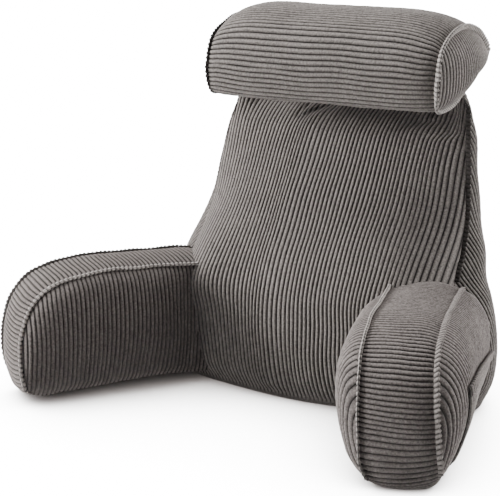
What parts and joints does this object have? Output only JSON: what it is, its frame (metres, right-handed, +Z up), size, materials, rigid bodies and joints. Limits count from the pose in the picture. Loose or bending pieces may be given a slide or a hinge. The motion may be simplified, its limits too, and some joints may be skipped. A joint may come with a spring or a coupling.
{
  "type": "reading pillow with arms",
  "caption": "Reading pillow with a reclined filled backrest, two filled arms, a neck roll along the top and a side pocket, all in ribbed corduroy with flanged seams.",
  "frame": {"origin": "middle of the pillow's box on the surface it stands on", "axes": "+Z up, the sitter faces -Y and the backrest leans back towards +Y; +X runs across the pillow, to the right as seen from the front"},
  "size_m": [0.814, 0.5812, 0.619],
  "materials": {
    "backrest": "matt wide-wale corduroy with a soft pile",
    "arm_left": "matt wide-wale corduroy with a soft pile",
    "arm_right": "matt wide-wale corduroy with a soft pile",
    "neck_roll": "matt wide-wale corduroy with a soft pile",
    "pocket": "matt wide-wale corduroy with a soft pile",
    "arm_left_inner_flange": "matt wide-wale corduroy with a soft pile",
    "arm_left_outer_flange": "matt wide-wale corduroy with a soft pile",
    "arm_right_inner_flange": "matt wide-wale corduroy with a soft pile",
    "arm_right_outer_flange": "matt wide-wale corduroy with a soft pile",
    "back_left_flange": "matt wide-wale corduroy with a soft pile",
    "back_right_flange": "matt wide-wale corduroy with a soft pile",
    "roll_left_flange": "matt wide-wale corduroy with a soft pile",
    "roll_right_flange": "matt wide-wale corduroy with a soft pile"
  },
  "bodies": {
    "root": {"backrest": "backrest", "arm_left": "arm_left", "arm_right": "arm_right", "neck_roll": "neck_roll", "pocket": "pocket", "arm_left_inner_flange": "arm_left_inner_flange", "arm_left_outer_flange": "arm_left_outer_flange", "arm_right_inner_flange": "arm_right_inner_flange", "arm_right_outer_flange": "arm_right_outer_flange", "back_left_flange": "back_left_flange", "back_right_flange": "back_right_flange", "roll_left_flange": "roll_left_flange", "roll_right_flange": "roll_right_flange"}
  },
  "joints": []
}
